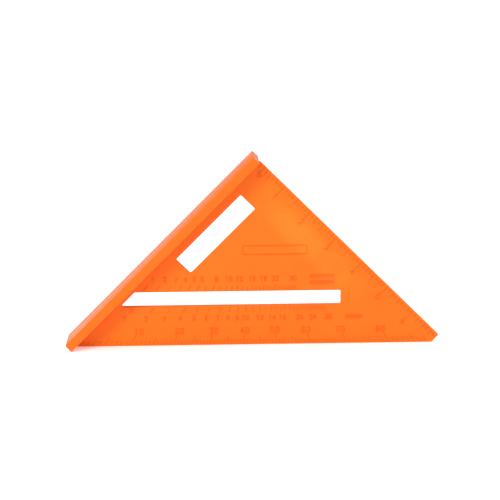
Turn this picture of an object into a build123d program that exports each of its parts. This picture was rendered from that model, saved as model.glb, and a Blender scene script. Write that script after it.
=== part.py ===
from build123d import *

import os
from math import atan, degrees, radians, sqrt, tan

# A seven inch speed square (rafter square), moulded in orange plastic.
#
# Millimetres, +Z up. The square stands on its degree edge, the long side of its triangular blade.
# The blade is upright in the XZ plane, its front face towards -Y, and the fence slopes up along
# its left side. The origin is the middle of the bottom of the tool's box.
#
# Everything on the blade is placed from the pivot, the corner where the fence's inner face meets
# the ruler edge. "Along" is measured from it down the fence, "out" down the ruler edge.

inch = 25.4

# Blade
leg = 185.0                          # pivot to the degree edge, down the fence
ruler_length = 7 * inch              # ruler edge, pivot to the blunted tip
blade_thick = 4.0
blade_root = 1.0                     # how far its left edge runs on into the fence
pivot_relief = 1.4                   # cut off the ruler edge and off the left edge, at their corner

# Fence, a bar across the blade's left edge
fence_thick = 6.0
fence_depth = 1.125 * inch
fence_outer_round = 1.2
fence_inner_round = 0.6

# Long window, level, with its left end parallel to the fence
long_window_bottom = 28.3
long_window_top = 38.6
long_window_gap = 3.8                # fence to the slanted end
long_window_right = 56.6             # pivot to the upright end, in X
window_round = 1.0

# Slanted window, parallel to the fence
slant_window_length = 63.9
slant_window_width = 14.4
slant_window_along = 25.9            # pivot to its near end
slant_window_out = 7.9               # fence to its near side

# Raised marks
mark_height = 0.3
tick_width = 0.45
stroke_width = 0.6                   # of a figure's strokes
edge_gap = 0.8                       # from an edge to the root of its ticks
tick_lengths = {"fine": 3.0, "quarter": 4.0, "half": 5.0, "full": 6.2}
figure_height = 4.2                  # figures beside the two working edges
small_figure_height = 3.2            # figures of the two rafter scales
figure_slimness = 0.52               # width of a figure over its height, between stroke middles
figure_round = 0.22                  # corner radius of a figure over its height
figure_pitch = 0.86                  # step from one figure to the next over their height
crisp = 0.01                         # radius of a figure's sharp corners

# Degree scale
first_degree = 1
last_degree = 87
degree_figure_z = 10.2

# Inch scale
ticks_per_inch = 8
inch_figure_along = 10.25

# Rafter scales: a roof's rise in inches for each run of one foot, the hip's run being 17 inches
common_run = 12.0
hip_run = common_run * sqrt(2)
highest_rise = 30
rafter_tick_gap = 0.7                # long window to the root of the ticks
common_figures = (1, 2, 3, 4, 5, 6, 7, 8, 9, 10, 12, 14, 16, 20, 24, 30)
common_figure_z = 19.5
hip_figures = (1, 2, 3, 4, 5, 6, 8, 10, 12, 15, 18, 22, 30)
hip_figure_z = 47.6

# Pivot arrow
arrow_tip = 7.0                      # pivot to the arrow's tip, straight down
arrow_length = 4.5
arrow_width = 4.4

# Plain labels: two bars beside the hip scale, one beside the common scale, and an empty frame.
# X is from the pivot to the label's middle.
hip_bar_size = (17.0, 2.2)
hip_bar_x = 43.5
hip_bar_heights = (44.4, 49.1)
common_bar_size = (12.0, 2.2)
common_bar_x = 66.0
frame_size = (45.0, 6.6)
frame_x = 10.5
frame_z = 68.0
frame_line = 0.5                     # width of its line

# The pivot's place, which puts the origin in the middle of the tool's box
pivot_x = (leg + fence_thick - ruler_length) / (2 * sqrt(2))
pivot_z = leg / sqrt(2)

front = Plane((0, -blade_thick / 2, 0), x_dir=(1, 0, 0), z_dir=(0, -1, 0))
back = Plane((0, blade_thick / 2, 0), x_dir=(-1, 0, 0), z_dir=(0, 1, 0))


def spot(along, out):
    """Place on the blade as (X, Z), from the distances down the fence and down the ruler edge."""
    return pivot_x + (out - along) / sqrt(2), pivot_z - (along + out) / sqrt(2)


def on_ray(angle, z):
    """Place at height z on the ray from the pivot at this angle, in degrees, to the fence."""
    return pivot_x + (pivot_z - z) * tan(radians(angle - 45)), z


def rise_angle(rise, run):
    """Angle in degrees of a roof that rises this much over this run."""
    return degrees(atan(rise / run))


# ---------------------------------------------------------------- blade and fence


def make_blade():
    """The triangular plate, with its root in the fence, its two cut corners and its two windows."""
    outline = Polyline(
        spot(0, -blade_root),
        spot(leg, -blade_root),
        spot(leg, 0),
        spot(leg - ruler_length, ruler_length),
        spot(0, ruler_length),
        spot(0, pivot_relief),
        spot(pivot_relief, 0),
        spot(0, 0),
        close=True,
    )
    plate = make_face(outline)
    blade = plate - long_window() - slant_window()
    return extrude(Plane.XZ * blade, amount=blade_thick / 2, both=True)


def long_window():
    """Level window above the degree scale, its left end cut parallel to the fence."""
    right = pivot_x + long_window_right
    corners = [(right, long_window_top), (right, long_window_bottom)]
    for z in (long_window_bottom, long_window_top):
        corners.append((pivot_x - pivot_z + z + long_window_gap * sqrt(2), z))
    window = make_face(Polyline(*corners, close=True))
    return fillet(window.vertices(), window_round)


def slant_window():
    """Window parallel to the fence."""
    middle = spot(
        slant_window_along + slant_window_length / 2, slant_window_out + slant_window_width / 2
    )
    window = RectangleRounded(slant_window_length, slant_window_width, window_round)
    return Pos(*middle) * Rot(0, 0, 45) * window


def make_fence():
    """The bar that hooks over the board, a ledge each side of the blade, its ends cut square."""
    top = spot(0, 0)
    section = Plane((top[0], 0, top[1]), x_dir=(-1, 0, 1), z_dir=(-1, 0, -1))
    profile = Pos(fence_thick / 2, 0) * Rectangle(fence_thick, fence_depth)
    inner = profile.vertices().group_by(Axis.X)[0]
    profile = fillet(inner, fence_inner_round)
    outer = profile.vertices().group_by(Axis.X)[-1]
    profile = fillet(outer, fence_outer_round)
    groove = Pos(blade_root / 2, 0) * Rectangle(blade_root, blade_thick)
    return extrude(section * (profile - groove), amount=leg)


# ---------------------------------------------------------------- raised figures and ticks


def stroke(*points, round_corners=0.0):
    """Round-ended stroke along straight runs, its corners rounded to the given radius."""
    if len(points) == 2:
        line = Line(*points)
    else:
        line = FilletPolyline(*points, radius=round_corners)
    return SlotArc(line, stroke_width)


def loop(width, height, middle, radius):
    """Closed ring of one stroke's width, a rectangle with rounded corners."""
    outside = RectangleRounded(width + stroke_width, height + stroke_width, radius + stroke_width / 2)
    inside = RectangleRounded(width - stroke_width, height - stroke_width, radius - stroke_width / 2)
    return Pos(*middle) * (outside - inside)


def figure(digit, height):
    """One figure, 0 to 9, its strokes' middle lines filling a box centred on the origin."""
    h = height / 2
    w = h * figure_slimness
    r = height * figure_round
    waist = 0.08 * h
    bowl = h + waist
    if digit == 0:
        return loop(2 * w, 2 * h, (0, 0), r)
    if digit == 1:
        return stroke((-0.7 * w, 0.6 * h), (0.1 * w, h), (0.1 * w, -h), round_corners=crisp)
    if digit == 2:
        return stroke((-w, 0.6 * h), (-w, h), (w, h), (w, waist), (-w, -h), round_corners=r / 2) + stroke(
            (-w, -h), (w, -h)
        )
    if digit == 3:
        upper = stroke((-w, h), (w, h), (w, waist), (-0.2 * w, waist), round_corners=r / 2)
        lower = stroke((-0.2 * w, waist), (w, waist), (w, -h), (-w, -h), round_corners=r)
        return upper + lower
    if digit == 4:
        slope = stroke((0.5 * w, h), (-w, -0.4 * h), (w, -0.4 * h), round_corners=crisp)
        return slope + stroke((0.5 * w, h), (0.5 * w, -h))
    if digit == 5:
        flag = stroke((w, h), (-w, h), (-w, waist), round_corners=crisp)
        return flag + stroke((-w, waist), (w, waist), (w, -h), (-w, -h), round_corners=r)
    if digit == 6:
        bowl_ring = loop(2 * w, bowl, (0, -h + bowl / 2), r)
        return bowl_ring + stroke((w, h), (-w, h), (-w, -h + bowl / 2), round_corners=r)
    if digit == 7:
        return stroke((-w, h), (w, h), (-0.3 * w, -h), round_corners=crisp)
    if digit == 8:
        upper_ring = loop(1.8 * w, h - waist, (0, (h + waist) / 2), 0.6 * r)
        return loop(2 * w, bowl, (0, -h + bowl / 2), r) + upper_ring
    return Rot(0, 0, 180) * figure(6, height)


def number(value, height):
    """A whole number, its figures side by side, centred on the origin."""
    digits = [int(character) for character in str(value)]
    step = height * figure_pitch
    start = -step * (len(digits) - 1) / 2
    return [Pos(start + step * place, 0) * figure(digit, height) for place, digit in enumerate(digits)]


def raise_marks(name, face, sketches):
    """Compound of the sketches, each raised off a face of the blade as a solid of its own."""
    solids = []
    for sketch in sketches:
        solids.extend(extrude(face * sketch, amount=mark_height).solids())
    return Compound(label=name, children=solids)


def facing(face, place):
    """A place (X, Z) in the face's own coordinates, which run the other way on the back."""
    return place[0] * face.x_dir.X, place[1]


def tick(face, start, end):
    """Straight mark from one place (X, Z) to another, as the face is looked at."""
    start = Vector(*facing(face, start))
    end = Vector(*facing(face, end))
    run = end - start
    middle = (start + end) / 2
    turn = degrees(atan(run.Y / run.X)) if run.X else 90.0
    return Pos(middle.X, middle.Y) * Rot(0, 0, turn) * Rectangle(run.length, tick_width)


def label(face, value, place, height, turn=0.0):
    """A number's sketches at a place (X, Z), turned as the face is looked at."""
    at = Pos(*facing(face, place)) * Rot(0, 0, turn * face.x_dir.X)
    return [at * sketch for sketch in number(value, height)]


# ---------------------------------------------------------------- scales


def degree_ticks(face):
    """One tick for each degree, on rays from the pivot, rising from the degree edge."""
    ticks = []
    for angle in range(first_degree, last_degree + 1):
        length = tick_lengths["full" if angle % 10 == 0 else "half" if angle % 5 == 0 else "fine"]
        ticks.append(tick(face, on_ray(angle, edge_gap), on_ray(angle, edge_gap + length)))
    return ticks


def degree_figures(face):
    """The tens of degrees, above their ticks."""
    figures = []
    for angle in range(10, last_degree, 10):
        figures += label(face, angle, on_ray(angle, degree_figure_z), figure_height)
    return figures


def inch_ticks(face):
    """Eighths of an inch, measured from the fence's inner face, square to the ruler edge."""
    ticks = []
    for count in range(1, round(ruler_length / inch) * ticks_per_inch):
        if count % ticks_per_inch == 0:
            length = tick_lengths["full"]
        elif count % (ticks_per_inch // 2) == 0:
            length = tick_lengths["half"]
        elif count % (ticks_per_inch // 4) == 0:
            length = tick_lengths["quarter"]
        else:
            length = tick_lengths["fine"]
        out = count * inch / ticks_per_inch
        ticks.append(tick(face, spot(edge_gap, out), spot(edge_gap + length, out)))
    return ticks


def inch_figures(face):
    """Whole inches, below their ticks and turned to stand along the ruler edge."""
    figures = []
    for count in range(1, round(ruler_length / inch)):
        figures += label(face, count, spot(inch_figure_along, count * inch), figure_height, turn=-45)
    return figures


def rafter_ticks(face, run, root_z, direction, numbered):
    """One tick for each inch of rise, on rays from the pivot, longer where a figure stands."""
    ticks = []
    for rise in range(1, highest_rise + 1):
        angle = rise_angle(rise, run)
        length = tick_lengths["quarter" if rise in numbered else "fine"]
        ticks.append(tick(face, on_ray(angle, root_z), on_ray(angle, root_z + direction * length)))
    return ticks


def rafter_figures(face, run, z, numbered):
    """The rises that have a figure, each on its own ray."""
    figures = []
    for rise in numbered:
        figures += label(face, rise, on_ray(rise_angle(rise, run), z), small_figure_height)
    return figures


def pivot_arrow(face):
    """Triangle below the pivot that points at it."""
    tip = pivot_z - arrow_tip
    corners = [(pivot_x, tip)]
    for side in (-1, 1):
        corners.append((pivot_x + side * arrow_width / 2, tip - arrow_length))
    return [make_face(Polyline(*[facing(face, corner) for corner in corners], close=True))]


def hip_bars(face):
    """Two plain bars, one above the other, beside the hip scale."""
    places = [(pivot_x + hip_bar_x, z) for z in hip_bar_heights]
    return [Pos(*facing(face, place)) * Rectangle(*hip_bar_size) for place in places]


def common_bar(face):
    """Plain bar at the end of the common scale's figures."""
    return [Pos(*facing(face, (pivot_x + common_bar_x, common_figure_z))) * Rectangle(*common_bar_size)]


def label_frame(face):
    """Empty frame in the middle of the blade."""
    width, height = frame_size
    ring = Rectangle(width, height) - Rectangle(width - 2 * frame_line, height - 2 * frame_line)
    return [Pos(*facing(face, (pivot_x + frame_x, frame_z))) * ring]


# ---------------------------------------------------------------- the whole tool

common_root = long_window_bottom - rafter_tick_gap
hip_root = long_window_top + rafter_tick_gap

nodes = {"blade": make_blade(), "fence": make_fence()}

marks = {
    "front_common_ticks": (front, rafter_ticks(front, common_run, common_root, -1, common_figures)),
    "front_common_numerals": (front, rafter_figures(front, common_run, common_figure_z, common_figures)),
    "front_hip_valley_ticks": (front, rafter_ticks(front, hip_run, hip_root, 1, hip_figures)),
    "front_hip_valley_numerals": (front, rafter_figures(front, hip_run, hip_figure_z, hip_figures)),
    "front_hip_label_bars": (front, hip_bars(front)),
    "front_common_label_bar": (front, common_bar(front)),
    "front_label_frame": (front, label_frame(front)),
}
for side, face in {"front": front, "back": back}.items():
    marks[f"{side}_degree_ticks"] = (face, degree_ticks(face))
    marks[f"{side}_degree_numerals"] = (face, degree_figures(face))
    marks[f"{side}_inch_ticks"] = (face, inch_ticks(face))
    marks[f"{side}_inch_numerals"] = (face, inch_figures(face))
    marks[f"{side}_pivot_mark"] = (face, pivot_arrow(face))

for name, (face, sketches) in marks.items():
    nodes[name] = raise_marks(name, face, sketches)

os.makedirs("parts", exist_ok=True)
for name, shape in nodes.items():
    shape.label = name
    export_step(shape, f"parts/{name}.step")
    print(f"{name}: {len(shape.solids())} solids, {shape.volume:.1f} cubic mm")
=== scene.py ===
import logging
from dataclasses import dataclass, field
from enum import Enum
from typing import Any

import bmesh
import bpy
import numpy as np
from mathutils import Matrix, Vector
from mathutils.geometry import tessellate_polygon


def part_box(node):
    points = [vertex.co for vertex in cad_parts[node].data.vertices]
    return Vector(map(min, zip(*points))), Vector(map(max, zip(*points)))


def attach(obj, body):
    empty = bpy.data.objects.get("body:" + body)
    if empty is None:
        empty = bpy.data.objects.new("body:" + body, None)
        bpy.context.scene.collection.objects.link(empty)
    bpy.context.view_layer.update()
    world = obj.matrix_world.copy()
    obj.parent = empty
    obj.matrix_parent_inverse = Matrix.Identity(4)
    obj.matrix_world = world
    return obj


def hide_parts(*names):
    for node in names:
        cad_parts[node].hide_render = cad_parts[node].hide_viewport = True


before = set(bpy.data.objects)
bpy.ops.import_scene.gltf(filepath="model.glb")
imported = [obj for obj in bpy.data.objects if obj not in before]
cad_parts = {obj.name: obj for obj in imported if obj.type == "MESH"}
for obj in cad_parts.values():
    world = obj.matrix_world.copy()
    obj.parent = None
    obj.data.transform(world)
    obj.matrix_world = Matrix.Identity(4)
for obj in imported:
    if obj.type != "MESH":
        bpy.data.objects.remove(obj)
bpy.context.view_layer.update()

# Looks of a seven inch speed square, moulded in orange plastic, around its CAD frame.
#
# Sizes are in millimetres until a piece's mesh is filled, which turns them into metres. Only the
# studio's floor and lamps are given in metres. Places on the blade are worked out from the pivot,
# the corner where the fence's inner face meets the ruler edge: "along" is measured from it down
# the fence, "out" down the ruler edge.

log = logging.getLogger("speed_square")

Array = np.ndarray
Colour = tuple[float, float, float]

MM = 0.001
INCH = 25.4
DIAGONAL = float(np.sqrt(0.5))
TINY = 1e-9
SQUARE = ((-1, -1), (1, -1), (1, 1), (-1, 1))
WHITE = (1.0, 1.0, 1.0, 1.0)


# ------------------------------------------------------------------------------ places


@dataclass(frozen=True)
class Datum:
    """The pivot corner that the whole tool is measured from.

    Attributes:
        x: The pivot's X.
        z: The pivot's Z, its height above the degree edge.
    """

    x: float
    z: float

    @classmethod
    def from_frame(cls, fence_thick: float) -> "Datum":
        """Read the pivot from the CAD fence, whose inner face ends in it.

        Args:
            fence_thick: The fence's thickness.

        Returns:
            The datum.
        """
        _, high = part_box("fence")
        return cls(x=high.x / MM, z=high.z / MM - fence_thick * DIAGONAL)

    def spot(self, along: Any, out: Any) -> Array:
        """Place on the blade, from the distances down the fence and down the ruler edge.

        Args:
            along: Distance or distances from the pivot, down the fence.
            out: Distance or distances from the pivot, down the ruler edge.

        Returns:
            X and Z, in the last axis.
        """
        along, out = np.broadcast_arrays(np.asarray(along, float), np.asarray(out, float))
        return np.stack([self.x + (out - along) * DIAGONAL, self.z - (along + out) * DIAGONAL], -1)

    def on_ray(self, angle: Any, height: Any) -> Array:
        """Place at a height, on the ray from the pivot at an angle to the fence.

        Args:
            angle: Angle or angles to the fence, in degrees.
            height: Z or several.

        Returns:
            X and Z, in the last axis.
        """
        angle, height = np.broadcast_arrays(np.asarray(angle, float), np.asarray(height, float))
        across = (self.z - height) * np.tan(np.radians(angle - 45))
        return np.stack([self.x + across, height], -1)


class Side(Enum):
    """A face of the blade, with the sign of its X as it is looked at."""

    FRONT = 1
    BACK = -1

    @property
    def word(self) -> str:
        """Name of the side, as nodes use it."""
        return self.name.lower()

    def facing(self, places: Array) -> Array:
        """Places (X, Z) in the side's own coordinates, as it is looked at."""
        return places * np.array([self.value, 1.0])


@dataclass(frozen=True)
class Pose:
    """Where a flat drawing lies in space: its origin and its two directions.

    Attributes:
        origin: Place of the drawing's origin.
        right: Direction of its first coordinate.
        up: Direction of its second. The third comes out of the drawing.
    """

    origin: tuple[float, float, float]
    right: tuple[float, float, float]
    up: tuple[float, float, float]

    def place(self, points: Array) -> Array:
        """Turn drawing coordinates (right, up, out of the drawing) into X, Y and Z."""
        right, up = np.array(self.right), np.array(self.up)
        return np.array(self.origin) + points @ np.stack([right, up, np.cross(right, up)])


# ------------------------------------------------------------------------------ shapes


@dataclass
class Shell:
    """A closed surface.

    Attributes:
        points: Vertices, one row each.
        quads: Vertex numbers of its curved faces, four in each row.
        caps: Vertex numbers of its flat faces, three in each row.
    """

    points: Array
    quads: Array
    caps: Array = field(default_factory=lambda: np.empty((0, 3), int))

    def moved(self, points: Array) -> "Shell":
        """The same faces on other points."""
        return Shell(points, self.quads, self.caps)


def join(shells: list[Shell]) -> Shell:
    """Put several shells into one."""
    starts = np.cumsum([0] + [len(shell.points) for shell in shells[:-1]])
    return Shell(
        np.concatenate([shell.points for shell in shells]),
        np.concatenate([shell.quads + start for shell, start in zip(shells, starts)]),
        np.concatenate([shell.caps + start for shell, start in zip(shells, starts)]),
    )


def unit(vectors: Array) -> Array:
    """Vectors in the last axis, brought to length one."""
    return vectors / np.maximum(np.linalg.norm(vectors, axis=-1, keepdims=True), TINY)


def grid_quads(rows: int, columns: int, wrap_rows: bool = False) -> Array:
    """Quads between neighbours of a grid of points that are numbered row by row.

    Each row's last point meets its first.

    Args:
        rows: How many rows the grid has.
        columns: How many points each row has.
        wrap_rows: Whether the last row meets the first.

    Returns:
        Four vertex numbers for each quad.
    """
    row = np.arange(rows if wrap_rows else rows - 1)[:, None]
    column = np.arange(columns)[None, :]
    next_row, next_column = (row + 1) % rows, (column + 1) % columns
    corners = [(row, column), (row, next_column), (next_row, next_column), (next_row, column)]
    return np.stack([r * columns + c for r, c in corners], -1).reshape(-1, 4)


def rounded(corners: Any, radii: Any, closed: bool = True, steps: int = 6) -> Array:
    """Line through corners, each one replaced by a tangent arc.

    An arc of radius r at a corner that turns by t starts r times tan(t / 2) before it. Its points
    are the start turned about the arc's centre, in equal steps up to t.

    Args:
        corners: The corners, (n, 2).
        radii: One radius, or one for each corner. 0 leaves a corner sharp.
        closed: Whether the last corner runs on to the first.
        steps: Points of each arc.

    Returns:
        The line's points, with none of them doubled.
    """
    corners = np.asarray(corners, float)
    radii = np.broadcast_to(np.asarray(radii, float), len(corners)).copy()
    if not closed:
        radii[[0, -1]] = 0.0
    before = unit(corners - np.roll(corners, 1, 0))
    after = unit(np.roll(corners, -1, 0) - corners)
    turn = np.arctan2(before[:, 0] * after[:, 1] - before[:, 1] * after[:, 0], (before * after).sum(1))
    turn[radii == 0] = 0.0
    start = corners - before * (radii * np.tan(np.abs(turn) / 2))[:, None]
    left = np.stack([-before[:, 1], before[:, 0]], 1)
    centre = start + left * (np.sign(turn) * radii)[:, None]
    arm = (start - centre)[:, None]
    swept = turn[:, None] * np.linspace(0, 1, steps)
    cosine, sine = np.cos(swept), np.sin(swept)
    x = arm[..., 0] * cosine - arm[..., 1] * sine
    y = arm[..., 0] * sine + arm[..., 1] * cosine
    points = (centre[:, None] + np.stack([x, y], -1)).reshape(-1, 2)
    apart = np.linalg.norm(points - np.roll(points, 1, 0), axis=1) > TINY
    apart[0] = apart[0] or not closed
    return points[apart]


def mitres(line: Array, closed: bool) -> Array:
    """Vectors that point left of a line and set it over by one everywhere.

    At a point between runs with left normals m and n, that is (m + n) / (1 + m · n).

    Args:
        line: The line's points, (n, 2).
        closed: Whether the last point runs on to the first.

    Returns:
        One vector for each point.
    """
    run = unit(np.roll(line, -1, 0) - line)
    left = np.stack([-run[:, 1], run[:, 0]], 1)
    earlier = np.roll(left, 1, 0)
    if not closed:
        left[-1] = earlier[-1]
        earlier[0] = left[0]
    return (left + earlier) / (1 + (left * earlier).sum(1))[:, None]


def wound(loop: Array, leftward: bool) -> Array:
    """A closed outline, turned so that it runs anticlockwise if leftward and clockwise if not."""
    following = np.roll(loop, -1, 0)
    area = (loop[:, 0] * following[:, 1] - loop[:, 1] * following[:, 0]).sum() / 2
    return loop if (area > 0) == leftward else loop[::-1]


@dataclass(frozen=True)
class EdgeProfile:
    """How a plate's edge turns from one of its faces to the other.

    Attributes:
        thickness: From face to face.
        front: Radius of the edge of the face at the top of the drawing.
        back: Radius of the other edge.
        steps: Points of each rounding.
        rim: Width of the flat that runs round each face beside its rounding.
    """

    thickness: float
    front: float
    back: float
    steps: int = 5
    rim: float = 0.15

    def rings(self) -> tuple[Array, Array]:
        """Inset from the outline, and height above the middle, of each ring of the edge.

        A rounding of radius r is r (1 - sin q) in and r (1 - cos q) down, for q from 0 to 90 degrees.

        Returns:
            The insets and the heights, from the front face to the back.
        """
        quarter = np.linspace(0, np.pi / 2, self.steps)
        half = self.thickness / 2
        front_in = self.front * (1 - np.sin(quarter))
        front_up = half - self.front * (1 - np.cos(quarter))
        back_in = self.back * (1 - np.cos(quarter))
        back_up = -half + self.back * (1 - np.sin(quarter))
        insets = np.concatenate([[self.front + self.rim], front_in, back_in, [self.back + self.rim]])
        heights = np.concatenate([[half], front_up, back_up, [-half]])
        return insets, heights


def plate(outline: Array, holes: list[Array], edge: EdgeProfile, pose: Pose) -> Shell:
    """Plate with rounded edges: the edge's profile carried round each outline, and two flat faces.

    A ring at inset d is its outline plus d times the outline's mitres, which point into the plate,
    because the outside runs anticlockwise and the holes clockwise.

    Args:
        outline: The outside, (n, 2).
        holes: The holes, each (n, 2).
        edge: The edge's profile.
        pose: Where the plate's middle plane lies.

    Returns:
        The plate.
    """
    insets, heights = edge.rings()
    points, quads, rims, start = [], [], [[], []], 0
    for number, loop in enumerate([outline, *holes]):
        loop = wound(loop, leftward=number == 0)
        rings = loop + insets[:, None, None] * mitres(loop, closed=True)
        lift = np.broadcast_to(heights[:, None, None], (*rings.shape[:2], 1))
        points.append(np.concatenate([rings, lift], -1).reshape(-1, 3))
        quads.append(grid_quads(len(insets), len(loop))[:, ::-1] + start)
        rims[0].append(np.arange(len(loop)) + start)
        start += rings.shape[0] * rings.shape[1]
        rims[1].append(np.arange(start - len(loop), start))
    points, caps = np.concatenate(points), []
    for rim, sign in zip(rims, (1, -1)):
        numbers = np.concatenate(rim)
        triangles = np.array(tessellate_polygon([[Vector(p) for p in points[loop]] for loop in rim]))
        a, b, c = (points[numbers[triangles[:, k]]][:, :2] for k in range(3))
        twice_area = (b - a)[:, 0] * (c - a)[:, 1] - (b - a)[:, 1] * (c - a)[:, 0]
        wrong = twice_area * sign < 0
        triangles[wrong] = triangles[wrong][:, ::-1]
        caps.append(numbers[triangles[np.abs(twice_area) > TINY]])
    return Shell(pose.place(points), np.concatenate(quads), np.concatenate(caps))


@dataclass(frozen=True)
class Bead:
    """Section of a raised stroke: sides with draft, and a softly rounded top.

    Attributes:
        width: At the foot.
        height: Above the blade.
        draft: How far each side leans in on its way up.
        rounding: Radius of the top's edges.
        sunk: How far the foot goes into the blade.
    """

    width: float
    height: float
    draft: float = 0.04
    rounding: float = 0.09
    sunk: float = 0.05

    def profile(self) -> Array:
        """Reach from the stroke's middle, and lift off the blade, from the foot to the top."""
        half = self.width / 2
        quarter = np.linspace(0, np.pi / 2, 4)
        shoulder = half - self.draft - self.rounding
        reach = shoulder + self.rounding * np.cos(quarter)
        lift = self.height - self.rounding + self.rounding * np.sin(quarter)
        foot = [(0.0, -self.sunk), (half, -self.sunk)]
        return np.array([*foot, *zip(reach, lift), (0.0, self.height)])

    def open_stroke(self, line: Array, cap_steps: int = 4) -> Shell:
        """Stroke along an open line, with round ends.

        Each point is centre(s) + reach(t) side(s), at lift(t). Going round the stroke, side(s) is the
        line's right mitre on the way out, turns half a circle about the end, is the left mitre on
        the way back, and turns half a circle about the start.

        Args:
            line: The stroke's middle line, (n, 2).
            cap_steps: Points added on each round end.

        Returns:
            The stroke, in drawing coordinates.
        """
        left = mitres(line, closed=False)
        half_turn = np.linspace(-np.pi / 2, np.pi / 2, cap_steps + 2)[1:-1]
        ahead = [unit(line[-1] - line[-2]), unit(line[0] - line[1])]
        cosine, sine = np.cos(half_turn), np.sin(half_turn)
        fans = [np.stack([x * cosine - y * sine, y * cosine + x * sine], 1) for x, y in ahead]
        centre = np.concatenate(
            [line, np.repeat(line[-1:], cap_steps, 0), line[::-1], np.repeat(line[:1], cap_steps, 0)]
        )
        side = np.concatenate([-left, fans[0], left[::-1], fans[1]])
        reach, lift = self.profile().T
        flat = centre + reach[:, None, None] * side
        points = np.concatenate([flat, np.broadcast_to(lift[:, None, None], (*flat.shape[:2], 1))], -1)
        return Shell(points.reshape(-1, 3), grid_quads(*flat.shape[:2]))

    def closed_stroke(self, line: Array) -> Shell:
        """Stroke along a closed line: its whole section carried round the line.

        Args:
            line: The stroke's middle line, (n, 2), anticlockwise.

        Returns:
            The stroke, in drawing coordinates.
        """
        half = self.profile()
        section = np.concatenate([half[1:-1], (half * [-1, 1])[1:-1][::-1]])
        flat = line - section[:, :1, None] * mitres(line, closed=True)
        lift = np.broadcast_to(section[:, 1:, None], (*flat.shape[:2], 1))
        points = np.concatenate([flat, lift], -1)
        return Shell(points.reshape(-1, 3), grid_quads(*flat.shape[:2], wrap_rows=True))


# ------------------------------------------------------------------------------ figures


@dataclass(frozen=True)
class Stroke:
    """One stroke of a figure, in a box that runs from -1 to 1 both ways.

    Attributes:
        corners: The corners of its middle line.
        rounding: Its corners' radius, over the figure's own.
        closed: Whether it runs on to its start.
    """

    corners: tuple[tuple[float, float], ...]
    rounding: float = 0.0
    closed: bool = False


WAIST = 0.08


def ring(left: float, low: float, right: float, high: float, rounding: float) -> Stroke:
    """Closed stroke round a box."""
    return Stroke(((left, low), (right, low), (right, high), (left, high)), rounding, closed=True)


FIGURES: dict[int, tuple[Stroke, ...]] = {
    0: (ring(-1, -1, 1, 1, 1.0),),
    1: (Stroke(((-0.7, 0.6), (0.1, 1), (0.1, -1))),),
    2: (Stroke(((-1, 0.6), (-1, 1), (1, 1), (1, WAIST), (-1, -1)), 0.6), Stroke(((-1, -1), (1, -1)))),
    3: (
        Stroke(((-1, 1), (1, 1), (1, WAIST), (-0.2, WAIST)), 0.7),
        Stroke(((-0.2, WAIST), (1, WAIST), (1, -1), (-1, -1)), 0.9),
    ),
    4: (Stroke(((0.5, 1), (-1, -0.4), (1, -0.4))), Stroke(((0.5, 1), (0.5, -1)))),
    5: (
        Stroke(((1, 1), (-1, 1), (-1, WAIST))),
        Stroke(((-1, WAIST), (1, WAIST), (1, -1), (-1, -1)), 1.0),
    ),
    6: (
        ring(-1, -1, 1, WAIST, 1.0),
        Stroke(((1, 1), (-1, 1), (-1, (WAIST - 1) / 2)), 1.0),
    ),
    7: (Stroke(((-1, 1), (1, 1), (-0.3, -1))),),
    8: (ring(-1, -1, 1, WAIST, 1.0), ring(-0.9, WAIST, 0.9, 1, 0.6)),
    9: (
        ring(-1, -WAIST, 1, 1, 1.0),
        Stroke(((-1, -1), (1, -1), (1, (1 - WAIST) / 2)), 1.0),
    ),
}


# A stroke with its place in its figure: a figure's second stroke crosses its first.
Layered = tuple[int, Shell]


@dataclass(frozen=True)
class Figures:
    """The tool's moulded figures, 0 to 9.

    Attributes:
        height: Of the strokes' middle lines.
        bead: Section of the strokes.
        slimness: Width over height.
        corner: Corner radius over height.
        pitch: Step from one figure to the next, over height.
    """

    height: float
    bead: Bead = Bead(width=0.6, height=0.3)
    slimness: float = 0.52
    corner: float = 0.22
    pitch: float = 0.86

    def number(self, value: int) -> list[Layered]:
        """A whole number, centred on the origin, in drawing coordinates."""
        digits = [int(character) for character in str(value)]
        half = np.array([self.slimness, 1.0]) * self.height / 2
        strokes = []
        for place, digit in enumerate(digits):
            middle = (place - (len(digits) - 1) / 2) * self.pitch * self.height
            for layer, stroke in enumerate(FIGURES[digit]):
                radius = stroke.rounding * self.corner * self.height
                line = rounded(np.array(stroke.corners) * half, radius, stroke.closed) + [middle, 0]
                draw = self.bead.closed_stroke if stroke.closed else self.bead.open_stroke
                strokes.append((layer, draw(line)))
        return strokes

    def label(self, value: int, at: Array, turn: float = 0.0) -> list[Layered]:
        """A number at a place, turned by an angle in degrees.

        Args:
            value: The number.
            at: Its place, in the side's own coordinates.
            turn: Its turn, anticlockwise as it is looked at.

        Returns:
            Its strokes.
        """
        cosine, sine = np.cos(np.radians(turn)), np.sin(np.radians(turn))
        turned = np.array([[cosine, sine, 0], [-sine, cosine, 0], [0, 0, 1]])
        offset = np.array([at[0], at[1], 0])
        strokes = self.number(value)
        return [(layer, shell.moved(shell.points @ turned + offset)) for layer, shell in strokes]


# ------------------------------------------------------------------------------ materials


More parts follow.
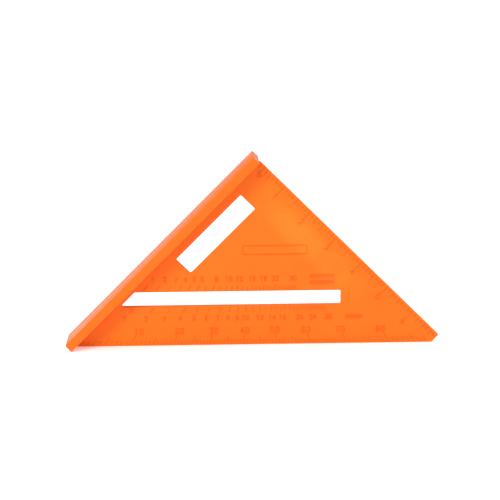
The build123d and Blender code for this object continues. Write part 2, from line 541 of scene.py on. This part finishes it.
class Value:
    """A shader socket that can be reckoned with: each operator adds its Math node."""

    def __init__(self, graph: "Graph", socket: bpy.types.NodeSocket) -> None:
        """Wrap one output socket of a graph."""
        self.graph = graph
        self.socket = socket

    def __add__(self, other: "Value | float") -> "Value":
        """This plus another."""
        return self.graph.maths("ADD", self, other)

    def __radd__(self, other: float) -> "Value":
        """A number plus this."""
        return self.graph.maths("ADD", other, self)

    def __sub__(self, other: "Value | float") -> "Value":
        """This less another."""
        return self.graph.maths("SUBTRACT", self, other)

    def __rsub__(self, other: float) -> "Value":
        """A number less this."""
        return self.graph.maths("SUBTRACT", other, self)

    def __mul__(self, other: "Value | float") -> "Value":
        """This times another."""
        return self.graph.maths("MULTIPLY", self, other)

    def __rmul__(self, other: float) -> "Value":
        """A number times this."""
        return self.graph.maths("MULTIPLY", other, self)

    def __truediv__(self, other: "Value | float") -> "Value":
        """This over another."""
        return self.graph.maths("DIVIDE", self, other)

    def __abs__(self) -> "Value":
        """This without its sign."""
        return self.graph.maths("ABSOLUTE", self)


class Graph:
    """The node tree of one material, or of the surroundings."""

    def __init__(self, owner: bpy.types.Material | bpy.types.World) -> None:
        """Start on an empty tree."""
        owner.use_nodes = True
        self.owner = owner
        self.tree = owner.node_tree
        self.tree.nodes.clear()

    def node(
        self,
        kind: str,
        settings: dict[str, Any] | None = None,
        sockets: dict[str | int, Any] | None = None,
        output: str | int = 0,
    ) -> Value:
        """Add a node.

        Args:
            kind: The node's type.
            settings: Its properties, set first.
            sockets: A value or a link for each input, by name or number.
            output: The output that is used, by name or number.

        Returns:
            The output, ready to be reckoned with.
        """
        made = self.tree.nodes.new(kind)
        for name, value in (settings or {}).items():
            setattr(made, name, value)
        for name, value in (sockets or {}).items():
            if isinstance(value, Value):
                self.tree.links.new(value.socket, made.inputs[name])
            else:
                made.inputs[name].default_value = value
        return Value(self, made.outputs[output]) if made.outputs else Value(self, None)

    def maths(self, operation: str, *terms: "Value | float", clamp: bool = False) -> Value:
        """Add a Math node on these terms."""
        settings = {"operation": operation, "use_clamp": clamp}
        return self.node("ShaderNodeMath", settings, dict(enumerate(terms)))

    def blend(self, factor: Value, first: Any, second: Any) -> Value:
        """Add a colour Mix node, from the first colour at factor 0 to the second at 1."""
        colours = {6: self._opaque(first), 7: self._opaque(second)}
        return self.node("ShaderNodeMix", {"data_type": "RGBA"}, {0: factor, **colours}, output=2)

    def dot(self, vector: Value, direction: tuple[float, float, float]) -> Value:
        """Add a Vector Math node that measures a vector in a direction."""
        operation = {"operation": "DOT_PRODUCT"}
        return self.node("ShaderNodeVectorMath", operation, {0: vector, 1: direction}, "Value")

    @staticmethod
    def _opaque(colour: Any) -> Any:
        """A colour with its alpha, or a link as it is."""
        return colour if isinstance(colour, Value) else (*colour, 1.0)

    def noise(self, where: Value, size: float, detail: float = 2.0, roughness: float = 0.5) -> Value:
        """Soft noise from 0 to 1, with blotches of about this size in millimetres."""
        sockets = {"Vector": where, "Scale": 1 / (size * MM), "Detail": detail, "Roughness": roughness}
        return self.node("ShaderNodeTexNoise", None, sockets, output="Fac")

    def step(self, value: Value, low: float, high: float) -> Value:
        """0 below low, 1 above high, and a smooth rise between them, or a fall if low is above high."""
        sockets = {"Value": value, "From Min": low, "From Max": high}
        return self.node("ShaderNodeMapRange", {"interpolation_type": "SMOOTHSTEP"}, sockets)


@dataclass(frozen=True)
class MouldedPlastic:
    """Orange plastic as it comes from the mould, with marks of use, painted highlight and shade.

    Attributes:
        name: The material's name.
        colour: The plastic's own colour.
        pale: Paler tone, of worn edges and scratches, and of the painted highlight band.
        deep: Darker tone, at the low end of the random mottle and as painted shade on the fence.
        roughness: Of the clean surface.
        mottle: How strongly the tone varies, from 0 to 1.
        grain: Depth of the mould's spark texture.
        gloss: Strength of its reflections, 0.5 being that of a clean polished plastic.
        grime: Colour of the specks of dirt.
        handled_middle: From the ruler edge to the middle of the band of painted highlight.
        handled_side: Distances from that middle at which the painted highlight starts and is full.
        handled_top: Distances from the fence at which it starts and is full.
        handled_foot: Distances from the fence at which it starts and is full, from the other end.
        deepened: How far the fence's tone goes to the deep one.
        edge_wear: How far a worn edge's tone goes to the pale one.
        scratched: How far a scratch's tone goes to the pale one.
        dirtied: How far a speck's tone goes to the grime's.
    """

    name: str
    colour: Colour
    pale: Colour
    deep: Colour
    roughness: float
    mottle: float
    grain: float
    gloss: float = 0.15
    grime: Colour = (0.35, 0.06, 0.01)
    handled_middle: float = 17.5
    handled_side: tuple[float, float] = (13.0, 3.0)
    handled_top: tuple[float, float] = (6.0, 58.0)
    handled_foot: tuple[float, float] = (124.0, 92.0)
    deepened: float = 0.75
    edge_wear: float = 0.5
    scratched: float = 0.25
    dirtied: float = 0.3

    def material(self, datum: Datum) -> bpy.types.Material:
        """Build the shader.

        Args:
            datum: The pivot, from which the rubbed places are measured.

        Returns:
            The material.
        """
        g = Graph(bpy.data.materials.new(self.name))
        where = g.node("ShaderNodeTexCoord", output="Object")
        along, out, height = self._distances(g, where, datum)

        cloud = g.noise(where, 34, detail=3)
        patch = g.noise(where, 9, detail=4, roughness=0.6)
        blotches, contrast = cloud * 0.7 + patch * 0.3 - 0.5, self.mottle * 3.2
        tone = g.maths("MULTIPLY_ADD", blotches, contrast, 0.5, clamp=True)
        colour = g.blend(tone, self.deep, self.colour)

        # Painted highlight: a pale band along the ruler edge, blotched by the noise, stands in for a
        # sheen.
        sheen_band = g.step(abs(along - self.handled_middle), *self.handled_side)
        sheen_band = sheen_band * g.step(out, *self.handled_top) * g.step(out, *self.handled_foot)
        painted_sheen = sheen_band * (0.4 + 0.6 * g.step(patch * 0.4 + cloud * 0.6, 0.36, 0.6))
        colour = g.blend(painted_sheen, colour, self.pale)

        # Painted shade: the whole fence and its fillets are tinted towards the deep tone.
        fence = g.step(out, 0.5, 0.0)
        colour = g.blend(fence * self.deepened, colour, self.deep)

        worn_edge = g.maths("MAXIMUM", g.step(along, 1.1, 0.2), g.step(height, 0.9, 0.1))
        worn_edge = worn_edge * g.step(patch, 0.35, 0.7)
        colour = g.blend(worn_edge * self.edge_wear, colour, self.pale)

        scratch = self._scratches(g, where)
        colour = g.blend(scratch * self.scratched, colour, self.pale)
        speck = self._specks(g, where)
        colour = g.blend(speck * self.dirtied, colour, self.grime)

        roughness = self.roughness + (patch - 0.5) * 0.14 - worn_edge * 0.08 + scratch * 0.12
        spark = g.noise(where, 0.35, detail=2)
        swell = g.noise(where, 14, detail=1)
        relief = spark * self.grain + swell * 0.05 - scratch * 0.006
        normal = g.node("ShaderNodeBump", None, {"Strength": 1.0, "Distance": MM, "Height": relief})
        shader = g.node(
            "ShaderNodeBsdfPrincipled",
            None,
            {"Base Color": colour, "Roughness": roughness, "Normal": normal, "IOR": 1.49,
             "Specular IOR Level": self.gloss},
        )
        g.node("ShaderNodeOutputMaterial", None, {"Surface": shader})
        return g.owner

    @staticmethod
    def _distances(g: Graph, where: Value, datum: Datum) -> tuple[Value, Value, Value]:
        """Distances in millimetres from the ruler edge, from the fence and from the degree edge."""
        ruler = g.dot(where, (-DIAGONAL, 0, -DIAGONAL)) / MM + (datum.x + datum.z) * DIAGONAL
        fence = g.dot(where, (DIAGONAL, 0, -DIAGONAL)) / MM + (datum.z - datum.x) * DIAGONAL
        return ruler, fence, g.dot(where, (0, 0, 1)) / MM

    @staticmethod
    def _scratches(g: Graph, where: Value) -> Value:
        """Hairlines in two directions, where a finely drawn-out noise crosses its middle."""
        lines = []
        for turn, length in ((0.62, 26.0), (-0.9, 18.0)):
            mapping = {"Vector": where, "Rotation": (0, turn, 0), "Scale": (1 / length, 1, 1)}
            drawn = g.node("ShaderNodeMapping", {"vector_type": "TEXTURE"}, mapping)
            fine = g.noise(drawn, 0.9, detail=1)
            lines.append(g.step(abs(fine - 0.5), 0.012, 0.002))
        rare = g.step(g.noise(where, 11, detail=2), 0.55, 0.7)
        return g.maths("MAXIMUM", *lines) * rare

    @staticmethod
    def _specks(g: Graph, where: Value) -> Value:
        """Small specks of grime, at the middle of a few cells of a cell pattern."""
        cells = {"Vector": where, "Scale": 1 / (5.5 * MM), "Randomness": 1.0}
        near = g.step(g.node("ShaderNodeTexVoronoi", None, cells, output="Distance"), 0.06, 0.03)
        return near * g.step(g.noise(where, 7, detail=1), 0.56, 0.62)


class Finish(Enum):
    """The two slots of the record, and the plastic each one shows."""

    ORANGE_PLASTIC = MouldedPlastic(
        name="orange_plastic",
        colour=(0.905, 0.180, 0.009),
        pale=(0.925, 0.212, 0.015),
        deep=(0.885, 0.145, 0.006),
        roughness=0.36,
        mottle=0.35,
        grain=0.006,
    )
    RAISED_MARKS = MouldedPlastic(
        name="raised_marks",
        colour=(0.81, 0.126, 0.005),
        pale=(0.85, 0.154, 0.009),
        deep=(0.78, 0.108, 0.004),
        roughness=0.30,
        mottle=0.3,
        grain=0.003,
    )

    @property
    def slot(self) -> str:
        """Name of the record's material slot."""
        return self.value.name


def clean(mesh: bpy.types.Mesh, closeness: float = 0.002 * MM) -> None:
    """Merge a mesh's points that are as close as this, and turn its faces outwards."""
    solid = bmesh.new()
    solid.from_mesh(mesh)
    bmesh.ops.remove_doubles(solid, verts=solid.verts, dist=closeness)
    bmesh.ops.dissolve_degenerate(solid, edges=solid.edges, dist=closeness)
    bmesh.ops.recalc_face_normals(solid, faces=solid.faces)
    solid.to_mesh(mesh)
    solid.free()


def fill(name: str, shell: Shell) -> bpy.types.Mesh:
    """Mesh of a shell, in metres."""
    mesh = bpy.data.meshes.new(name)
    mesh.from_pydata((shell.points * MM).tolist(), [], shell.quads.tolist() + shell.caps.tolist())
    smooth = np.repeat([True, False], [len(shell.quads), len(shell.caps)])
    mesh.polygons.foreach_set("use_smooth", smooth)
    clean(mesh)
    return mesh


def fuse(mesh: bpy.types.Mesh, other: bpy.types.Mesh) -> bpy.types.Mesh:
    """Union of two closed meshes, as one closed mesh.

    Args:
        mesh: The first, whose name is kept.
        other: The second, which crosses it.

    Returns:
        The union.
    """
    name = mesh.name
    base, extra = (bpy.data.objects.new(part.name, part) for part in (mesh, other))
    for piece in (base, extra):
        bpy.context.scene.collection.objects.link(piece)
    union = base.modifiers.new("union", "BOOLEAN")
    union.operation, union.solver, union.object = "UNION", "EXACT", extra
    fused = bpy.data.meshes.new_from_object(base.evaluated_get(bpy.context.evaluated_depsgraph_get()))
    for piece, part in ((base, mesh), (extra, other)):
        bpy.data.objects.remove(piece)
        bpy.data.meshes.remove(part)
    fused.name = name
    clean(fused)
    return fused


class Workshop:
    """Turns shells into finished pieces of the tool, shading an edge sharp past the crease angle."""

    crease = float(np.radians(35))

    def __init__(self, datum: Datum) -> None:
        """Mix the two plastics, ready for use."""
        self.materials = {finish: finish.value.material(datum) for finish in Finish}
        self.made: list[bpy.types.Object] = []

    def finish(
        self, name: str, shells: list[Shell], finish: Finish, replaced: str | None = None
    ) -> None:
        """Fill a mesh, dress it and put it in place.

        Args:
            name: The piece's name.
            shells: Its surface, in millimetres, or several that cross and are fused into one.
            finish: Its plastic.
            replaced: The CAD node that it stands for, if any.
        """
        mesh = fill(name, shells[0])
        for shell in shells[1:]:
            mesh = fuse(mesh, fill("crossing", shell))
        mesh.set_sharp_from_angle(angle=self.crease)
        mesh.materials.clear()
        mesh.materials.append(self.materials[finish])
        piece = bpy.data.objects.new(name, mesh)
        bpy.context.scene.collection.objects.link(piece)
        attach(piece, "root")
        if replaced:
            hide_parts(replaced)
        self.made.append(piece)
        log.info("%s: %d faces in %s", name, len(mesh.polygons), finish.slot)


# ------------------------------------------------------------------------------ blade and fence


@dataclass
class Blade:
    """The triangular plate with its two windows.

    Attributes:
        datum: The pivot corner.
        leg: Pivot to the degree edge, down the fence.
        ruler: Length of the ruler edge, pivot to blunted tip.
        thick: Thickness.
        root: How far the plate's left edge runs on into the fence.
        relief: Cut off the ruler edge and off the left edge, at their corner.
        edge: Radius of all its edges.
        tip_round: Radius of the tip's two corners, in the plate's plane.
        relief_round: Radius of the cut's corner on the ruler edge.
        window_round: Radius of the windows' corners.
        long_low: Z of the long window's lower side.
        long_high: Z of its upper side.
        long_gap: Fence to its slanted end.
        long_right: Pivot to its upright end, in X.
        slant_along: Pivot to the slanted window's near end, down the fence.
        slant_length: Its length.
        slant_out: Fence to its near side.
        slant_width: Its width.
    """

    datum: Datum
    leg: float = 185.0
    ruler: float = 7 * INCH
    thick: float = 4.0
    root: float = 1.0
    relief: float = 1.4
    edge: float = 0.4
    tip_round: float = 0.7
    relief_round: float = 0.7
    window_round: float = 1.0
    long_low: float = 28.3
    long_high: float = 38.6
    long_gap: float = 3.8
    long_right: float = 56.6
    slant_along: float = 25.9
    slant_length: float = 63.9
    slant_out: float = 7.9
    slant_width: float = 14.4

    def outline(self) -> Array:
        """The plate's outside, its root buried in the fence, its tip and its pivot corner cut."""
        relief, root, leg, ruler = self.relief, self.root, self.leg, self.ruler
        along = np.array([relief, leg - root, leg, leg - ruler, 0, 0, relief])
        out = np.array([-root, -root, 0, ruler, ruler, relief, 0])
        radii = [0, 0, 0, self.tip_round, self.tip_round, self.relief_round, 0]
        return rounded(self.datum.spot(along, out), radii)

    def long_window(self) -> Array:
        """The level window, its left end parallel to the fence."""
        right = self.datum.x + self.long_right
        slanted = self.datum.x - self.datum.z + self.long_gap / DIAGONAL
        corners = [
            (right, self.long_high),
            (slanted + self.long_high, self.long_high),
            (slanted + self.long_low, self.long_low),
            (right, self.long_low),
        ]
        return rounded(corners, self.window_round)

    def slant_window(self) -> Array:
        """The window beside the fence."""
        along = self.slant_along + self.slant_length * np.array([0, 1, 1, 0])
        out = self.slant_out + self.slant_width * np.array([0, 0, 1, 1])
        return rounded(self.datum.spot(along, out), self.window_round)

    def build(self, workshop: Workshop) -> None:
        """Make the plate."""
        edge = EdgeProfile(self.thick, self.edge, self.edge)
        upright = Pose((0, 0, 0), (1, 0, 0), (0, 0, 1))
        shell = plate(self.outline(), [self.long_window(), self.slant_window()], edge, upright)
        workshop.finish("blade_plate", [shell], Finish.ORANGE_PLASTIC, "blade")


@dataclass
class Fence:
    """The bar along the blade's left edge, and the fillets between them.

    Attributes:
        datum: The pivot corner.
        blade: The blade it is moulded to.
        thick: Thickness.
        depth: Depth, across the blade.
        inner_round: Radius of the long edges beside the ledges.
        outer_round: Radius of the long edges of its outer face.
        end_round: Radius of the edges of its two ends.
        fillet: Radius of the fillets between its ledges and the blade.
        sunk: How far the fillets go into both.
    """

    datum: Datum
    blade: Blade
    thick: float = 6.0
    depth: float = 1.125 * INCH
    inner_round: float = 0.6
    outer_round: float = 1.2
    end_round: float = 0.5
    fillet: float = 1.1
    sunk: float = 0.2

    def pose(self, along: float) -> Pose:
        """Drawing plane square to the fence: right is out along the ruler edge, up is +Y."""
        x, z = self.datum.spot(along, 0.0)
        return Pose((x, 0, z), (DIAGONAL, 0, -DIAGONAL), (0, 1, 0))

    def section(self) -> Array:
        """The bar's section."""
        half = self.depth / 2
        corners = [(0, -half), (0, half), (-self.thick, half), (-self.thick, -half)]
        return rounded(corners, np.repeat([self.inner_round, self.outer_round], 2))

    def fillet_section(self, side: Side) -> Array:
        """Section of one fillet: a corner with a hollow quarter circle across it."""
        quarter = np.linspace(0, np.pi / 2, 7)
        hollow = self.fillet * (1 - np.stack([np.cos(quarter), np.sin(quarter)], 1))
        buried = [(self.fillet, -self.sunk), (-self.sunk, -self.sunk), (-self.sunk, self.fillet)]
        outline = np.concatenate([hollow, buried])
        return outline * [1, -side.value] + [0, -side.value * self.blade.thick / 2]

    def build(self, workshop: Workshop) -> None:
        """Make the bar and both fillets."""
        leg = self.blade.leg
        edge = EdgeProfile(leg, self.end_round, self.end_round, rim=0.08)
        bar = plate(self.section(), [], edge, self.pose(leg / 2))
        workshop.finish("fence_bar", [bar], Finish.ORANGE_PLASTIC, "fence")
        start, end = self.blade.relief + self.blade.edge, leg - self.fillet - self.blade.edge
        for side in Side:
            strip = EdgeProfile(end - start, front=0.0, back=0.0, steps=2, rim=0.0)
            shell = plate(self.fillet_section(side), [], strip, self.pose((start + end) / 2))
            workshop.finish(f"{side.word}_fence_fillet", [shell], Finish.ORANGE_PLASTIC)


# ------------------------------------------------------------------------------ scales


@dataclass
class Markings:
    """What all raised marks of one side of the blade share.

    Attributes:
        datum: The pivot corner.
        blade: The blade they stand on.
        side: Its face.
        tick: Section of a tick.
        edge_gap: From an edge to the root of its ticks.
        fine: Length of the shortest ticks.
        quarter: Length of the next.
        half: Length of the next.
        full: Length of the longest.
        figures: The figures beside the two working edges.
    """

    datum: Datum
    blade: Blade
    side: Side
    tick: Bead = Bead(width=0.45, height=0.3, rounding=0.07)
    edge_gap: float = 0.8
    fine: float = 3.0
    quarter: float = 4.0
    half: float = 5.0
    full: float = 6.2
    figures: Figures = Figures(height=4.2)

    def face(self) -> Pose:
        """The side's own drawing plane, on the blade's face."""
        sign = self.side.value
        return Pose((0, -sign * self.blade.thick / 2, 0), (sign, 0, 0), (0, 0, 1))

    def ticks(self, starts: Array, ends: Array) -> Shell:
        """Ticks from one place (X, Z) each to another, for as many as are given."""
        half_width = self.tick.width / 2
        starts, ends = self.side.facing(starts), self.side.facing(ends)
        inward = unit(ends - starts) * half_width
        lines = np.stack([starts + inward, ends - inward], 1)
        return join([self.tick.open_stroke(line, cap_steps=2) for line in lines])

    def flat_mark(self, outline: Array) -> Shell:
        """Low plate of a mark's height, standing on the drawing, with the edge of its top rounded."""
        edge = EdgeProfile(self.tick.height, front=0.1, back=0.0, steps=4, rim=0.05)
        return plate(outline, [], edge, Pose((0, 0, self.tick.height / 2), (1, 0, 0), (0, 1, 0)))

    def put(self, workshop: Workshop, name: str, *drawings: Shell) -> None:
        """Set drawings on the blade as one finished piece."""
        node = f"{self.side.word}_{name}"
        placed = [shell.moved(self.face().place(shell.points)) for shell in drawings]
        workshop.finish(f"{node}_raised", placed, Finish.RAISED_MARKS, node)

    def put_figures(self, workshop: Workshop, name: str, strokes: list[Layered]) -> None:
        """Set figures on the blade, the two strokes of each fused where they cross."""
        layers = [join([shell for layer, shell in strokes if layer == wanted]) for wanted in (0, 1)]
        self.put(workshop, name, *layers)


@dataclass
class DegreeScale(Markings):
    """Degrees on the degree edge, each on its ray from the pivot.

    Attributes:
        first: The first degree that has a tick.
        last: The last one.
        figure_height: Z of the figures' middles.
    """

    first: int = 1
    last: int = 87
    figure_height: float = 10.2

    def build(self, workshop: Workshop) -> None:
        """Make the ticks and the tens."""
        angles = np.arange(self.first, self.last + 1)
        kinds = [angles % 10 == 0, angles % 5 == 0]
        length = np.select(kinds, [self.full, self.half], self.fine)
        starts = self.datum.on_ray(angles, self.edge_gap)
        ends = self.datum.on_ray(angles, self.edge_gap + length)
        self.put(workshop, "degree_ticks", self.ticks(starts, ends))
        tens = range(10, self.last, 10)
        places = self.side.facing(self.datum.on_ray(list(tens), self.figure_height))
        labels = [s for value, at in zip(tens, places) for s in self.figures.label(value, at)]
        self.put_figures(workshop, "degree_numerals", labels)


@dataclass
class InchScale(Markings):
    """Inches and eighths on the ruler edge, from the fence's inner face.

    Attributes:
        per_inch: How many ticks an inch has.
        figure_along: From the ruler edge to the figures' middles.
    """

    per_inch: int = 8
    figure_along: float = 10.25

    def build(self, workshop: Workshop) -> None:
        """Make the ticks and the whole inches."""
        inches = round(self.blade.ruler / INCH)
        counts = np.arange(1, inches * self.per_inch)
        kinds = [counts % (self.per_inch // parts) == 0 for parts in (1, 2, 4)]
        length = np.select(kinds, [self.full, self.half, self.quarter], self.fine)
        out = counts * INCH / self.per_inch
        starts, ends = self.datum.spot(self.edge_gap, out), self.datum.spot(self.edge_gap + length, out)
        self.put(workshop, "inch_ticks", self.ticks(starts, ends))
        wholes = np.arange(1, inches)
        places = self.side.facing(self.datum.spot(self.figure_along, wholes * INCH))
        turn = -45.0 * self.side.value
        labels = [s for value, at in zip(wholes, places) for s in self.figures.label(value, at, turn)]
        self.put_figures(workshop, "inch_numerals", labels)


class Roof(Enum):
    """The two rafter scales, with the inches that the rafter runs for each foot of the plan."""

    COMMON = 12.0
    HIP_VALLEY = 12.0 * 2**0.5


@dataclass
class RafterScale(Markings):
    """Rises of a roof, each on the ray at its slope, on one side of the long window.

    Attributes:
        roof: Which of the two scales it is.
        root: Z of the ticks' roots.
        upward: Whether the ticks go up from there.
        highest: The highest rise that has a tick.
        numbered: The rises that have a figure.
        figure_height: Z of the figures' middles.
        figures: The scale's own, smaller figures.
    """

    roof: Roof = Roof.COMMON
    root: float = 27.6
    upward: bool = False
    highest: int = 30
    numbered: tuple[int, ...] = ()
    figure_height: float = 19.5
    figures: Figures = Figures(height=3.2)

    def build(self, workshop: Workshop) -> None:
        """Make the ticks and the numbered rises."""
        rises = np.arange(1, self.highest + 1)
        angles = np.degrees(np.arctan(rises / self.roof.value))
        length = np.where(np.isin(rises, self.numbered), self.quarter, self.fine)
        reach = self.root + length * (1 if self.upward else -1)
        word = self.roof.name.lower()
        ticks = self.ticks(self.datum.on_ray(angles, self.root), self.datum.on_ray(angles, reach))
        self.put(workshop, f"{word}_ticks", ticks)
        slopes = np.degrees(np.arctan(np.array(self.numbered) / self.roof.value))
        places = self.side.facing(self.datum.on_ray(slopes, self.figure_height))
        labels = [s for value, at in zip(self.numbered, places) for s in self.figures.label(value, at)]
        self.put_figures(workshop, f"{word}_numerals", labels)


@dataclass
class Pointer(Markings):
    """The arrow that points at the pivot.

    Attributes:
        tip: Pivot to its tip.
        length: Tip to foot.
        width: Of its foot.
        corner: Radius of its corners.
    """

    tip: float = 7.0
    length: float = 4.5
    width: float = 4.4
    corner: float = 0.25

    def build(self, workshop: Workshop) -> None:
        """Make the arrow."""
        top, foot = self.datum.z - self.tip, self.datum.z - self.tip - self.length
        half = self.width / 2
        x = self.datum.x
        corners = self.side.facing(np.array([(x, top), (x - half, foot), (x + half, foot)]))
        self.put(workshop, "pivot_mark", self.flat_mark(rounded(corners, self.corner)))


@dataclass
class LabelBars(Markings):
    """Plain raised bars, one above another, where the tool has a label.

    Attributes:
        name: The bars' node, without its side.
        middle: Pivot to the bars' middle, in X.
        heights: Z of each bar.
        length: Of each bar.
        width: Of each bar.
        corner: Radius of each bar's corners.
    """

    name: str = ""
    middle: float = 0.0
    heights: tuple[float, ...] = ()
    length: float = 12.0
    width: float = 2.2
    corner: float = 0.4

    def box(self, height: float) -> Array:
        """Corners of one bar, on its side."""
        corners = np.array(SQUARE) * np.array([self.length, self.width]) / 2
        return corners + self.side.facing(np.array([self.datum.x + self.middle, height]))

    def build(self, workshop: Workshop) -> None:
        """Make the bars as one piece."""
        bars = [self.flat_mark(rounded(self.box(z), self.corner)) for z in self.heights]
        self.put(workshop, self.name, join(bars))


@dataclass
class LabelFrame(LabelBars):
    """Empty raised frame, its line as wide as a tick."""

    corner: float = 0.8

    def build(self, workshop: Workshop) -> None:
        """Make the frame."""
        (z,) = self.heights
        middle = self.side.facing(np.array([self.datum.x + self.middle, z]))
        inset = self.tick.width / 2
        line = middle + (self.box(z) - middle) * (1 - 2 * inset / np.array([self.length, self.width]))
        self.put(workshop, self.name, self.tick.closed_stroke(rounded(line, self.corner)))


# ------------------------------------------------------------------------------ studio


@dataclass(frozen=True)
class SoftLight:
    """A square of soft light that looks at the tool.

    Attributes:
        name: Its name.
        at: Its place, in metres.
        size: Its side, in metres.
        power: In watts.
        aim: Height above the floor that it looks at, in metres.
    """

    name: str
    at: tuple[float, float, float]
    size: float
    power: float
    aim: float = 0.06

    def build(self) -> None:
        """Hang the light."""
        light = bpy.data.lights.new(self.name, "AREA")
        light.size, light.energy = self.size, self.power
        lamp = bpy.data.objects.new(self.name, light)
        lamp.matrix_world = look_at(Vector(self.at), Vector((0, 0, self.aim)))
        bpy.context.scene.collection.objects.link(lamp)


def look_at(eye: Vector, target: Vector) -> Matrix:
    """Place and turn of a lamp or camera that looks from one point at another, +Z up."""
    turn = (target - eye).to_track_quat("-Z", "Y").to_matrix().to_4x4()
    return Matrix.Translation(eye) @ turn


@dataclass
class Studio:
    """Pale floor, soft light and camera.

    Attributes:
        datum: The pivot corner, which the camera's aim is measured from.
        azimuth: Camera's angle about +Z, in degrees. 0 looks along +Y.
        elevation: Its angle above the horizon, in degrees.
        roll: Its turn about its own axis, in degrees.
        distance: Camera to aim.
        aim_left: Aim to the pivot, in X.
        aim_height: The aim's Z.
        lens: Focal length over the picture's width.
        floor_tone: Grey of the floor.
        floor_glow: Light that comes through the floor, as through a light table.
        wall: Brightness of the low white wall all round.
        wall_top: Sines of the elevations between which the wall fades.
        low_sky: Brightness of the surroundings just above the wall.
        zenith: How much brighter they are straight up.
        lights: The lamps.
    """

    datum: Datum
    azimuth: float = -1.74
    elevation: float = 13.75
    roll: float = -0.30
    distance: float = 1108.6
    aim_left: float = 6.5
    aim_height: float = 67.6
    lens: float = 3.2022
    floor_tone: float = 0.95
    floor_glow: float = 0.3
    wall: float = 1.05
    wall_top: tuple[float, float] = (0.07, 0.14)
    low_sky: float = 0.2
    zenith: float = 1.4
    lights: tuple[SoftLight, ...] = (SoftLight("key", (-0.70, -0.88, 0.80), 0.46, 8.0),)

    def build(self) -> None:
        """Set up everything that isn't the tool."""
        self._floor()
        self._surroundings()
        for light in self.lights:
            light.build()
        self._camera()
        bpy.context.scene.view_settings.view_transform = "Standard"

    def _floor(self) -> None:
        """A wide plain floor, just under the tool."""
        half, under = 6.0, -0.0001
        mesh = bpy.data.meshes.new("floor")
        mesh.from_pydata([(x * half, y * half, under) for x, y in SQUARE], [], [(0, 1, 2, 3)])
        g = Graph(bpy.data.materials.new("pale_floor"))
        surface = {"Base Color": (*(self.floor_tone,) * 3, 1.0), "Roughness": 0.9}
        glow = {"Emission Color": WHITE, "Emission Strength": self.floor_glow}
        shader = g.node("ShaderNodeBsdfPrincipled", None, surface | glow)
        g.node("ShaderNodeOutputMaterial", None, {"Surface": shader})
        mesh.materials.append(g.owner)
        floor = bpy.data.objects.new("floor", mesh)
        bpy.context.scene.collection.objects.link(floor)

    def _surroundings(self) -> None:
        """A low white wall, and above it light that grows with the square of the elevation's sine."""
        g = Graph(bpy.data.worlds.new("surroundings"))
        direction = g.node("ShaderNodeTexCoord", output="Generated")
        rise = g.maths("MAXIMUM", g.dot(direction, (0, 0, 1)), 0.0)
        wall = g.step(rise, *reversed(self.wall_top))
        strength = rise * rise * self.zenith + self.low_sky + wall * (self.wall - self.low_sky)
        light = g.node("ShaderNodeBackground", None, {"Color": WHITE, "Strength": strength})
        g.node("ShaderNodeOutputWorld", None, {"Surface": light})
        bpy.context.scene.world = g.owner

    def _camera(self) -> None:
        """The camera, at its angles and distance from its aim."""
        turn, tilt, roll = np.radians([self.azimuth, self.elevation, self.roll])
        away = Vector((np.sin(turn) * np.cos(tilt), -np.cos(turn) * np.cos(tilt), np.sin(tilt)))
        aim = Vector((self.datum.x - self.aim_left, 0, self.aim_height)) * MM
        data = bpy.data.cameras.new("camera")
        data.lens = self.lens * data.sensor_width
        camera = bpy.data.objects.new("camera", data)
        level = look_at(aim + away * self.distance * MM, aim)
        camera.matrix_world = level @ Matrix.Rotation(float(roll), 4, "Z")
        bpy.context.scene.collection.objects.link(camera)
        bpy.context.scene.camera = camera


# ------------------------------------------------------------------------------ the whole tool


def main() -> None:
    """Build the tool's looks, then the studio, and log how many pieces there are."""
    logging.basicConfig(level=logging.INFO, format="%(name)s: %(message)s")
    datum = Datum.from_frame(fence_thick=Fence.thick)
    workshop = Workshop(datum)
    blade = Blade(datum)
    assemblies: list[Any] = [blade, Fence(datum, blade)]
    for side in Side:
        assemblies += [make(datum, blade, side) for make in (DegreeScale, InchScale, Pointer)]
    front = (datum, blade, Side.FRONT)
    assemblies += [
        RafterScale(
            *front, roof=Roof.COMMON, root=27.6, upward=False, figure_height=19.5,
            numbered=(1, 2, 3, 4, 5, 6, 7, 8, 9, 10, 12, 14, 16, 20, 24, 30),
        ),
        RafterScale(
            *front, roof=Roof.HIP_VALLEY, root=39.3, upward=True, figure_height=47.6,
            numbered=(1, 2, 3, 4, 5, 6, 8, 10, 12, 15, 18, 22, 30),
        ),
        LabelBars(*front, name="hip_label_bars", middle=43.5, heights=(44.4, 49.1), length=17.0),
        LabelBars(*front, name="common_label_bar", middle=66.0, heights=(19.5,)),
        LabelFrame(*front, name="label_frame", middle=10.5, heights=(68.0,), length=45.0, width=6.6),
    ]
    for assembly in assemblies:
        assembly.build(workshop)
    Studio(datum).build()
    bpy.context.view_layer.update()
    log.info("%d pieces", len(workshop.made))


if __name__ == "__main__":
    main()
